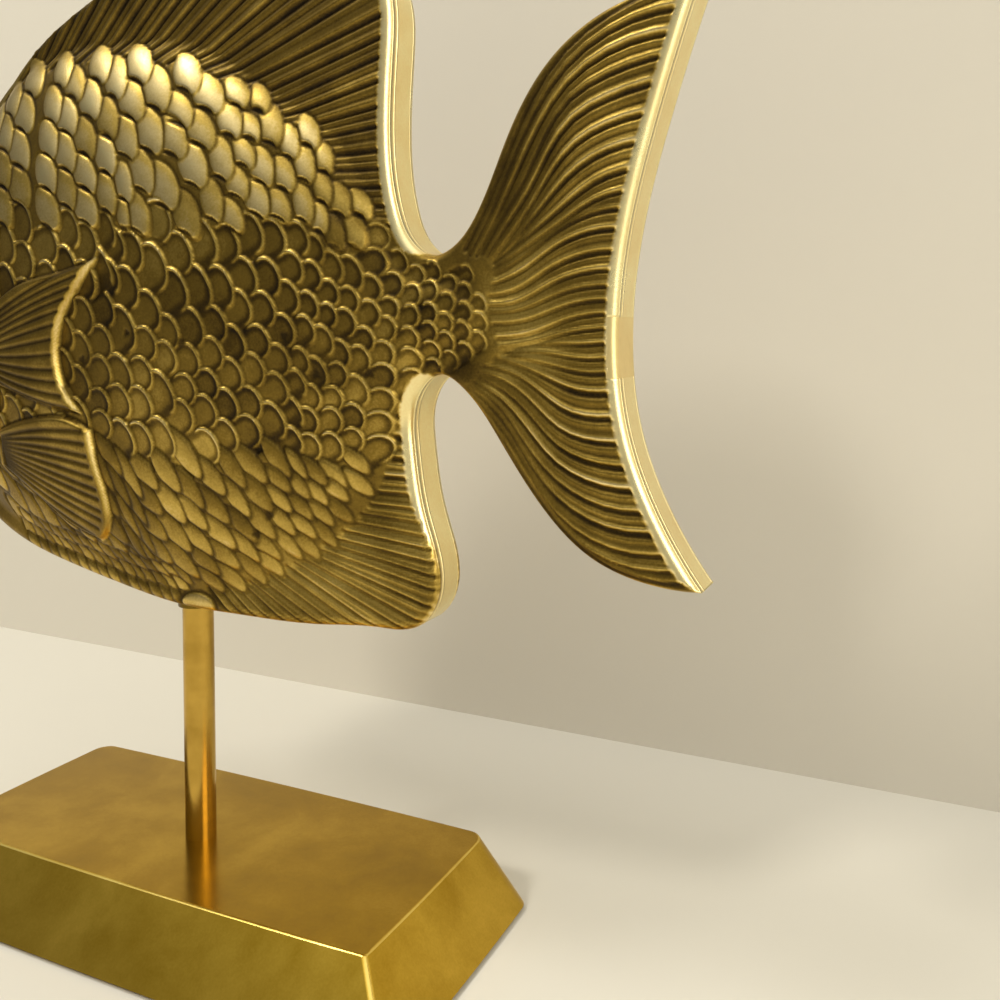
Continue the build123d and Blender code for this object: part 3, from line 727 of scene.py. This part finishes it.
def raise_area(canvas, ring, height, soft, tone):
    """Lifts the area inside a ring, with a soft edge, and gives it one tone."""
    x, w, part = canvas.around(ring, 2)
    closed = np.concatenate([ring, ring[:1]])
    away, _ = near(closed, x, w)
    inside = within(ring, x, w)
    cover = np.where(inside, 1.0, ease(0.35, 0, away))
    rise = np.where(inside, ease(0, soft, away), 0)
    canvas.lay(part, cover, height * rise, tone)
    shadow = np.where(inside, 0, ease(1.2, 0.2, away))
    canvas.lay(part, shadow * 0.8, canvas.relief[part] - 0.2, 0.95)


def head_ring():
    """Side view of the bare head, in front of the gill cover's rear edge."""
    rear = fish_line(GILL_REAR, 1.0)
    return np.concatenate([[(-60, 175)], rear, [(-84, 10), (-125, 10), (-125, 175)]])


def bowed(start, end, low, high, bow):
    """Line between two shares of the way from start to end, bowed up or down."""
    line = start + np.linspace(low, high, RIB_POINTS)[:, None] * (end - start)
    line[:, 1] += np.sin(np.linspace(0, 3, RIB_POINTS)) * bow
    return line


def paint_gill(canvas, rng):
    """Gill cover with its grooved rear edge, its ribs and the bar in front of them."""
    gill = closed_view((GILL_REAR, GILL_FRONT), 1.0)
    raise_area(canvas, gill, GILL_RAISE, 1.2, 0.38)
    rear = fish_line(GILL_REAR, 1.0)
    stroke(canvas, rear + (-2.6, 0), 0.7, -0.45, 0.92, 0.8)
    stroke(canvas, rear + (-1.2, 0), 0.7, 0.25, 0.15, 0.7)
    centre = np.array(on_fish(GILL_CENTRE))
    for share in np.linspace(0.12, 0.9, GILL_RIBS):
        end = rear[int(share * (len(rear) - 1))]
        line = bowed(centre, end, 0.38, 0.86, rng.uniform(0.2, 0.9))
        stroke(canvas, line, 0.6, -0.3, 0.85, 0.75, taper=0.3)
    bar = np.array([on_fish(p) for p in GILL_BAR])
    stroke(canvas, smooth(bar, 1.0), 0.9, -0.5, 0.93, 0.9)
    stroke(canvas, smooth(bar + (-1.8, 0), 1.0), 0.9, 0.3, 0.2, 0.6)


def paint_head(canvas, rng):
    """Bare head with gill cover, lips and nostril."""
    ring = head_ring()
    x, w, part = canvas.around(ring, 1)
    canvas.lay(part, within(ring, x, w) * 1.0, 0.0, HEAD_TONE)
    paint_gill(canvas, rng)
    stroke(canvas, fish_line(LIPS, 0.6), 0.6, -0.4, 0.9, 0.9)
    stroke(canvas, np.array([on_fish(p) for p in NOSTRIL]), 0.9, -0.8, 0.97)


def paint_side_fin(canvas, tables, height, root, spread, count):
    """Fin that lies on the body, with rays from its root to its rear edge."""
    raise_area(canvas, closed_view(tables, 0.8), height, 1.3, SIDE_FIN_TONE)
    rear = fish_line(tables[1], 0.8)
    for share in np.linspace(0.02, 0.98, count):
        end = rear[int(share * (len(rear) - 1))]
        start = np.array(root) + (share - 0.5) * np.array(spread)
        stroke(canvas, bowed(start, end, 0, 0.93, (0.5 - share) * 3), 0.62, -0.5, 0.93, 0.85)
    # Raised rim along the rear edge, with a painted highlight on it
    stroke(canvas, rear + (-0.5, 0), 0.6, 0.3, RIM_HIGHLIGHT_TONE, 0.9)


def paint_side_fins(canvas):
    """Fin low on the belly, then the fin behind the gill cover."""
    pelvic = (PELVIC_TOP, PELVIC_REAR, PELVIC_UNDER)
    paint_side_fin(canvas, pelvic, PELVIC_RAISE, root=(-63, 47), spread=(0, -10), count=11)
    pectoral = (PECTORAL_TOP, PECTORAL_REAR, PECTORAL_UNDER)
    paint_side_fin(canvas, pectoral, PECTORAL_RAISE, root=(-62, 80), spread=(0, -20), count=12)


def paint_fish():
    """The whole side of the fish."""
    rng = random.Random(7)
    canvas = Canvas()
    paint_dorsal(canvas, rng)
    paint_anal(canvas, rng)
    paint_tail(canvas, rng)
    paint_scales(canvas, rng)
    paint_side_fins(canvas)
    paint_head(canvas, rng)
    paint_boss(canvas)
    paint_marks(canvas, rng)
    everywhere = (slice(None), slice(None))
    # Bright band along the outline, with painted light from the window side where it faces the tail
    bright = ease(0.5, -0.4, canvas.rim - canvas.band)
    canvas.lay(everywhere, bright, 0.0, BAND_TONE - BAND_PAINTED_LIGHT * ease(0.2, 0.7, canvas.facing))
    return canvas


# Fish meshes


def inward_of(ring):
    """Normals of a ring that point inwards."""
    tangent = np.roll(ring, -1, axis=0) - np.roll(ring, 1, axis=0)
    tangent /= np.hypot(tangent[:, 0], tangent[:, 1])[:, None]
    area = np.sum(ring[:, 0] * np.roll(ring[:, 1], -1) - np.roll(ring[:, 0], -1) * ring[:, 1])
    turn = 1 if area > 0 else -1
    return np.stack([-tangent[:, 1], tangent[:, 0]], 1) * turn


def side_points(ring):
    """Places of the side view: the outline, drawn-in rings and a lattice inside them."""
    tree = KDTree(len(ring))
    for number, (x, w) in enumerate(ring):
        tree.insert((x, w, 0), number)
    tree.balance()
    inward = inward_of(ring)
    places = [tuple(p) for p in ring]
    inset = [0.0] * len(ring)
    for depth in RING_DEPTHS:
        for x, w in ring + inward * depth:
            if tree.find((x, w, 0))[2] > depth * 0.93:
                places.append((x, w))
                inset.append(depth)
    rows = np.arange(ring[:, 1].min(), ring[:, 1].max(), GRID * 0.866)
    for number, level in enumerate(rows):
        xs = np.arange(ring[:, 0].min() + (number % 2) * GRID / 2, ring[:, 0].max(), GRID)
        for x in xs[within(ring, xs, np.full(xs.size, level))]:
            away = tree.find((x, level, 0))[2]
            if away > RING_DEPTHS[-1] + GRID * 0.6:
                places.append((x, level))
                inset.append(away)
    return np.array(places), np.array(inset)


def triangles(places, ring_count):
    """Triangles between the places, inside the ring."""
    edges = [(i, (i + 1) % ring_count) for i in range(ring_count)]
    result = delaunay_2d_cdt([Vector(p) for p in places], edges, [], 1, 1e-6)
    number = [origin[0] if origin else -1 for origin in result[3]]
    return [tuple(number[v] for v in face) for face in result[2]]


def over_plug(x, w):
    """True at the places that the plug in the tail edge shows through."""
    return (x > PLUG_START) & (np.abs(w - PLUG_LEVEL) < PLUG_HEIGHT / 2)


def side_levels(canvas, x, w, inset):
    """Distance of the surface from the middle plane."""
    drop = np.clip(EDGE_ROUND - inset, 0, EDGE_ROUND)
    slab = HALF_FIN - EDGE_ROUND + np.sqrt(EDGE_ROUND**2 - drop**2)
    body = dome(x, w)
    join = np.clip(1 - np.abs(slab - body) / JOIN_REACH, 0, 1)
    level = np.maximum(slab, body) + JOIN_RAISE * join**2
    level += canvas.read(canvas.relief, x, w) * ease(0.2, 1.2, inset)
    level = np.where(over_plug(x, w), np.minimum(level, HALF_FIN - PLUG_PROUD - PLUG_SUNK), level)
    return eye_levels(level, x, w)


def eye_levels(level, x, w):
    """Adds the raised eye with its groove and domed pupil."""
    ex, ew = on_fish(EYE)
    away = np.hypot(x - ex, w - ew)
    base = float(dome(np.array([ex]), np.array([ew]))[0]) + GILL_RAISE
    fall = np.clip(away - EYE_RADIUS + EYE_ROUND, 0, EYE_ROUND) / EYE_ROUND
    ring = base + EYE_RAISE * np.sqrt(np.clip(1 - fall**2, 0, 1))
    ring -= 0.9 * np.exp(-(((away - PUPIL_RADIUS - EYE_GROOVE / 2) / 0.6) ** 2))
    ring += np.where(away < PUPIL_RADIUS, PUPIL_RAISE * (1 - (away / PUPIL_RADIUS) ** 2), 0)
    return np.where(away < EYE_RADIUS, np.maximum(level, ring), level)


def add_piece(name, vertices, polygons):
    """Object with a mesh."""
    mesh = bpy.data.meshes.new(name)
    mesh.from_pydata(vertices, [], polygons)
    piece = bpy.data.objects.new(name, mesh)
    bpy.context.scene.collection.objects.link(piece)
    return piece


def edge_polygons(starts, count):
    """Faces of four between rings of points that follow each other."""
    polygons = []
    for first, second in zip(starts, starts[1:]):
        for i in range(count):
            j = (i + 1) % count
            polygons.append((first + j, first + i, second + i, second + j))
    return polygons


def fish_half(name, side, canvas, plan):
    """Closed mesh of one half of the fish, with its tone: face, edge and the flat at the seam."""
    places, inset, faces, ring_count = plan
    x, w = places[:, 0], places[:, 1]
    y = side * side_levels(canvas, x, w, inset)
    x = x - PLUG_BACK * over_plug(x, w)
    tone = canvas.read(canvas.tone, x, w)
    # Tone of the edge, with painted light from the window side where it faces the tail
    edge_tone = EDGE_TONE - EDGE_PAINTED_LIGHT * ease(0.2, 0.7, -inward_of(places[:ring_count])[:, 0])
    levels = np.linspace(y[0], SEAM_Y, LEFT_ROWS if side < 0 else RIGHT_ROWS)[1:]
    rows = [np.stack([x[:ring_count], np.full(ring_count, level), w[:ring_count]], 1) for level in levels]
    vertices = np.concatenate([np.stack([x, y, w], 1)] + rows)
    starts = [0] + [len(x) + k * ring_count for k in range(len(rows))]
    seam = triangles([tuple(p) for p in places[:ring_count]], ring_count)
    polygons = faces + edge_polygons(starts, ring_count)
    polygons += [tuple(starts[-1] + v for v in reversed(face)) for face in seam]
    if side > 0:
        polygons = [tuple(reversed(face)) for face in polygons]
    vertices[:, 2] += FISH_LEVEL
    piece = add_piece(name, (vertices * MM).tolist(), polygons)
    tones = np.concatenate([tone] + [edge_tone] * len(rows))
    piece.data.attributes.new("tone", "FLOAT", "POINT").data.foreach_set("value", tones.astype(np.float32))
    piece.data.polygons.foreach_set("use_smooth", [True] * len(polygons))
    piece.data.update()
    return piece


def fish_plan():
    """Shared places and faces of the side view."""
    ring = fish_outline(GRID)
    places, inset = side_points(ring)
    return places, inset, triangles(places, len(ring)), len(ring)


# Materials


class Nodes:
    """Short way to add linked shader nodes to a material or world."""

    def __init__(self, owner, shader="Principled BSDF"):
        owner.use_nodes = True
        self.owner = owner
        self.tree = owner.node_tree
        self.shader = self.tree.nodes[shader]

    def give(self, node, key, value):
        """Links a socket to an input, or sets the input to a plain value."""
        if isinstance(value, bpy.types.NodeSocket):
            self.tree.links.new(value, node.inputs[key])
        else:
            node.inputs[key].default_value = value

    def set(self, key, value):
        """Input of the shader itself."""
        self.give(self.shader, key, value)

    def add(self, kind, inputs=None, **settings):
        node = self.tree.nodes.new(kind)
        for key, value in settings.items():
            setattr(node, key, value)
        for key, value in (inputs or {}).items():
            self.give(node, key, value)
        return node

    def where(self):
        """Place on the object, in metres."""
        return self.add("ShaderNodeTexCoord").outputs["Object"]

    def noise(self, scale, detail=4, rough=0.55, at=None, distortion=0.0):
        at = at if at is not None else self.where()
        settings = {
            "Vector": at, "Scale": scale, "Detail": detail, "Roughness": rough, "Distortion": distortion,
        }
        return self.add("ShaderNodeTexNoise", settings).outputs["Fac"]

    def spread(self, value, from_low, from_high, to_low, to_high, **settings):
        """Value mapped from one range to another."""
        keys = {
            "Value": value, "From Min": from_low, "From Max": from_high, "To Min": to_low, "To Max": to_high,
        }
        return self.add("ShaderNodeMapRange", keys, **settings).outputs["Result"]

    def math(self, operation, first, second=0.0, clamp=False):
        node = self.add("ShaderNodeMath", {0: first, 1: second}, operation=operation, use_clamp=clamp)
        return node.outputs[0]

    def ramp(self, value, stops):
        """Colour from stops of place and 8-bit colour."""
        node = self.add("ShaderNodeValToRGB", {"Fac": value})
        elements = node.color_ramp.elements
        while len(elements) < len(stops):
            elements.new(0.5)
        for element, (place, colour) in zip(elements, stops):
            element.position = place
            element.color = linear(colour)
        return node.outputs["Color"]

    def bump(self, height, strength, distance):
        keys = {"Height": height, "Strength": strength, "Distance": distance}
        self.set("Normal", self.add("ShaderNodeBump", keys).outputs["Normal"])


def linear(colour):
    """Scene colour of an 8-bit screen colour, with a full alpha."""
    parts = [c / 255 for c in colour]
    return (*(c / 12.92 if c <= 0.04045 else ((c + 0.055) / 1.055) ** 2.4 for c in parts), 1)


def new_material(name):
    """Nodes of a new material."""
    return Nodes(bpy.data.materials.new(name))


BRASS = [
    (0.0, (255, 242, 184)), (0.20, (246, 222, 156)), (0.42, (198, 168, 84)),
    (0.62, (134, 109, 44)), (0.82, (80, 62, 20)), (1.0, (34, 24, 6)),
]
BASE_BRASS = [
    (0.0, (255, 228, 130)), (0.3, (222, 184, 72)), (0.5, (174, 138, 34)),
    (0.75, (120, 92, 22)), (1.0, (70, 50, 12)),
]
ROD_BRASS = [(0.0, (214, 176, 84)), (1.0, (164, 130, 52))]
ZINC = [(0.3, (150, 152, 156)), (0.7, (196, 198, 202))]
WOOL = [(0.3, (30, 44, 34)), (0.7, (58, 76, 60))]


def aged_brass():
    """Cast brass coloured by the painted tone: brown patina in its hollows and bright on its ridges, with
    painted highlights and shade laid into that tone.
    """
    n = new_material("aged_brass")
    tone = n.add("ShaderNodeAttribute", attribute_name="tone").outputs["Fac"]
    grain = n.spread(n.noise(1400, 3), 0.35, 0.65, -0.03, 0.03)
    cloud = n.spread(n.noise(75, 5, 0.62), 0.3, 0.7, -0.08, 0.08)
    shade = n.math("ADD", n.math("ADD", tone, grain), cloud, clamp=True)
    n.set("Base Color", n.ramp(shade, BRASS))
    n.set("Metallic", n.spread(shade, 0.5, 1.0, 1.0, 0.8))
    n.set("Roughness", n.spread(shade, 0.0, 1.0, 0.27, 0.52))
    n.bump(n.noise(1700, 4, 0.6), 0.12, 0.0003)
    return n.owner


def clouded_metal(name, stops, cloud, tones, roughness, grain, depth):
    """Metal without relief; cloud and grain are noises, tones says how the cloud picks from the stops."""
    n = new_material(name)
    at = n.where()
    shade = n.noise(*cloud, at)
    n.set("Base Color", n.ramp(n.spread(shade, *tones), stops))
    n.set("Metallic", 1.0)
    n.set("Roughness", n.spread(shade, 0.3, 0.7, *roughness))
    n.bump(n.noise(*grain, at), depth, 0.0002)
    return n.owner


def plain_brass(name, low, high):
    """Cast brass without relief, between two tones."""
    return clouded_metal(name, BRASS, (75, 5, 0.62), (0.3, 0.7, low, high), (0.32, 0.32), (1200, 3, 0.5), 0.04)


def polished_brass():
    """Brass of the rod, rubbed bright."""
    tones = (0.35, 0.7, 0.0, 1.0)
    return clouded_metal("polished_brass", ROD_BRASS, (45, 4, 0.6), tones, (0.20, 0.28), (1200, 3, 0.5), 0.04)


def zinc_steel():
    """Zinc on the small steel pieces under the base."""
    tones = (0.0, 1.0, 0.0, 1.0)
    return clouded_metal("zinc_steel", ZINC, (400, 4, 0.55), tones, (0.32, 0.5), (1500, 3, 0.55), 0.1)


def satin_brass():
    """Brass of the base, brushed and clouded, with painted light by the way each face turns: a painted
    highlight along the rounded top edge, and faces that slope or stand a little brighter than the top.
    """
    n = new_material("satin_brass")
    at = n.where()
    cloud = n.noise(26, 6, 0.62, at, 0.4)
    blot = n.noise(60, 5, 0.6, at, 0.2)
    grain = n.noise(1500, 2, 0.5, at)
    shade = n.math("ADD", n.spread(cloud, 0.35, 0.7, 0.40, 0.52), n.spread(blot, 0.35, 0.7, -0.02, 0.05))
    shade = n.math("ADD", shade, n.spread(grain, 0.3, 0.7, -0.015, 0.015))
    normal = n.add("ShaderNodeNewGeometry").outputs["Normal"]
    facing = n.add("ShaderNodeSeparateXYZ", {"Vector": normal}).outputs["Z"]
    # Painted highlight along the rounded edge between the top and its sloping faces
    edge_highlight = n.math("MULTIPLY", n.spread(facing, 0.70, 0.78, 0.0, 1.0), n.spread(facing, 0.93, 0.985, 1.0, 0.0))
    # Painted light: faces that slope or stand a little brighter than the flat top
    shade = n.math("ADD", shade, n.spread(facing, 0.70, 0.95, -0.07, 0.03))
    shade = n.math("SUBTRACT", shade, n.math("MULTIPLY", edge_highlight, 0.34), clamp=True)
    n.set("Base Color", n.ramp(shade, BASE_BRASS))
    n.set("Metallic", 1.0)
    n.set("Roughness", n.spread(facing, 0.70, 0.95, 0.28, 0.20))
    n.bump(n.noise(900, 2, 0.5, at), 0.02, 0.0002)
    return n.owner


def felt():
    """Short wool pile under the base."""
    n = new_material("felt")
    pile = n.noise(2600, 4, 0.7)
    n.set("Base Color", n.ramp(pile, WOOL))
    n.set("Roughness", 0.95)
    n.bump(pile, 0.6, 0.0006)
    return n.owner


def backdrop(name, colour):
    """Plain pale paint, clear when seen from behind."""
    n = new_material(name)
    darker = tuple(int(c * 0.985) for c in colour)
    n.set("Base Color", n.ramp(n.noise(3.0, 2), [(0.0, colour), (1.0, darker)]))
    n.set("Roughness", 0.8)
    behind = n.add("ShaderNodeNewGeometry").outputs["Backfacing"]
    clear = n.add("ShaderNodeBsdfTransparent").outputs["BSDF"]
    shown = n.add("ShaderNodeMixShader", {0: behind, 1: n.shader.outputs["BSDF"], 2: clear})
    n.give(n.tree.nodes["Material Output"], "Surface", shown.outputs[0])
    return n.owner


# Stage, camera, lamps


def sheet(name, corners, material):
    """Flat piece of the stage."""
    piece = add_piece(name, corners, [tuple(range(len(corners)))])
    piece.data.materials.append(material)


CAMERA_PLACE = Vector((0.22139, -0.24278, 0.17823))
CAMERA_YAW = math.radians(25.58)
CAMERA_PITCH = math.radians(1.59)
CAMERA_ROLL = math.radians(-0.29)
FOCAL_PIXELS = 1012.62
MIDDLE_ROW = 352.26
IMAGE_SIZE = 1000
SENSOR = 36
# Line where the shelf meets the wall, and how far the stage reaches
WALL_MIDDLE = (0.0, 0.1646, 0.0)
WALL_ALONG = (1.0, -0.0086, 0.0)
STAGE_LEFT, STAGE_REACH = 0.6, 3
SHELF_PAINT = (216, 212, 199)
WALL_PAINT = (217, 211, 196)
# Colours of the light, and the strength of the room where the camera sees it
LAMP_WHITE, CEILING_WHITE, ROOM_WHITE = (255, 250, 240), (255, 252, 246), (255, 252, 244)
SEEN_STRENGTH = 0.8


def add_camera():
    """Camera of the photograph."""
    reach = math.cos(CAMERA_PITCH)
    ahead = Vector((-math.sin(CAMERA_YAW) * reach, math.cos(CAMERA_YAW) * reach, -math.sin(CAMERA_PITCH)))
    level = Vector((math.cos(CAMERA_YAW), math.sin(CAMERA_YAW), 0))
    upright = level.cross(ahead)
    right = math.cos(CAMERA_ROLL) * level + math.sin(CAMERA_ROLL) * upright
    up = math.cos(CAMERA_ROLL) * upright - math.sin(CAMERA_ROLL) * level
    data = bpy.data.cameras.new("camera")
    data.sensor_width = SENSOR
    data.lens = FOCAL_PIXELS / IMAGE_SIZE * SENSOR
    data.shift_y = (MIDDLE_ROW - IMAGE_SIZE / 2) / IMAGE_SIZE
    data.clip_start = 0.01
    data.clip_end = 20
    camera = bpy.data.objects.new("camera", data)
    turn = Matrix((right, up, -ahead)).transposed()
    camera.matrix_world = Matrix.Translation(CAMERA_PLACE) @ turn.to_4x4()
    bpy.context.scene.collection.objects.link(camera)
    bpy.context.scene.camera = camera


def add_lamp(name, place, target, size, power, colour, mirrored=True):
    """Soft square lamp that faces a target, seen in polished metal or not."""
    data = bpy.data.lights.new(name, "AREA")
    data.shape = "RECTANGLE"
    data.size, data.size_y = size
    data.energy = power
    data.color = linear(colour)[:3]
    lamp = bpy.data.objects.new(name, data)
    lamp.location = place
    lamp.rotation_euler = (Vector(target) - Vector(place)).to_track_quat("-Z", "Y").to_euler()
    lamp.visible_glossy = mirrored
    bpy.context.scene.collection.objects.link(lamp)


def add_world(low, high, left):
    """Light of the room, low at eye level, high towards the ceiling and lower on the left."""
    world = bpy.data.worlds.new("world")
    n = Nodes(world, "Background")
    generated = n.add("ShaderNodeTexCoord").outputs["Generated"]
    toward = n.add("ShaderNodeSeparateXYZ", {"Vector": generated}).outputs
    upward = n.spread(toward["Z"], 0.4, 0.85, low, high, interpolation_type="SMOOTHSTEP")
    sideways = n.spread(toward["X"], -0.9, 0.5, left, 1.0, interpolation_type="SMOOTHSTEP")
    direct = n.add("ShaderNodeLightPath").outputs["Is Camera Ray"]
    strengths = {0: direct, 2: n.math("MULTIPLY", upward, sideways), 3: SEEN_STRENGTH}
    n.set("Strength", n.add("ShaderNodeMix", strengths).outputs[0])
    n.set("Color", linear(ROOM_WHITE))
    bpy.context.scene.world = world


def add_stage():
    """Shelf and the wall behind it, which is seen from its front only."""
    along = Vector(WALL_ALONG).normalized()
    left, right = (Vector(WALL_MIDDLE) + along * x for x in (-STAGE_LEFT, STAGE_REACH))
    away = Vector((-along.y, along.x, 0)) * STAGE_REACH
    rise = Vector((0, 0, STAGE_REACH))
    shelf = (left - away, right - away, right + away, left + away)
    sheet("shelf", shelf, backdrop("shelf_paint", SHELF_PAINT))
    sheet("wall", (left, right, right + rise, left + rise), backdrop("wall_paint", WALL_PAINT))


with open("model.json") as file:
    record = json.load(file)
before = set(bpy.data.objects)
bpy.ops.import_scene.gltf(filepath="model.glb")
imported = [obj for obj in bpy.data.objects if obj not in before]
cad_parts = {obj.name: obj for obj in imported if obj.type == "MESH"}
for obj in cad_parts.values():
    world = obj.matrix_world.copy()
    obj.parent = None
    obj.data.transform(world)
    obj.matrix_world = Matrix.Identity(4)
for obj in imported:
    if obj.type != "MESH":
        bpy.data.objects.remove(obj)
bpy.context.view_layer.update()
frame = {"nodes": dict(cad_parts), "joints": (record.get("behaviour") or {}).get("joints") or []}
nodes = frame["nodes"]
FISH_LEVEL = frame["joints"][0]["pos_m"][2] / MM

aged = aged_brass()
finishes = {
    "tail_core_plug": plain_brass("patch_brass", 0.12, 0.24),
    # The bush is given a dark tone as a painted shadow under the belly
    "belly_bush": plain_brass("shadowed_bush_brass", 0.62, 0.82),
    "rod": polished_brass(),
    "base": satin_brass(),
    "flat_washer": zinc_steel(),
    "felt_pad": felt(),
}
finishes["spring_washer"] = finishes["hex_nut"] = finishes["flat_washer"]
for name, material in finishes.items():
    nodes[name].data.materials.clear()
    nodes[name].data.materials.append(material)

canvas = paint_fish()
plan = fish_plan()
for name, side, node in (("fish_left", -1, "fish_left_half"), ("fish_right", 1, "fish_right_half")):
    half = fish_half(name, side, canvas, plan)
    half.data.materials.append(aged)
    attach(half, "fish")
    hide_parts(node)

bpy.context.scene.view_settings.view_transform = "Standard"
add_stage()
add_camera()
add_world(low=0.36, high=1.35, left=0.4)
# Place, target, size, power in watts and colour of each lamp
add_lamp("room_lamp", (-0.84, -1.3, 1.56), (0, 0, 0.15), (0.34, 0.34), 17, LAMP_WHITE, mirrored=False)
add_lamp("ceiling_lamp", (-0.5, -0.38, 1.45), (0, 0, 0.2), (0.45, 0.45), 6.5, CEILING_WHITE)
add_lamp("window", (1.7, -0.5, 0.7), (0, 0, 0.15), (1.0, 1.2), 12, LAMP_WHITE)
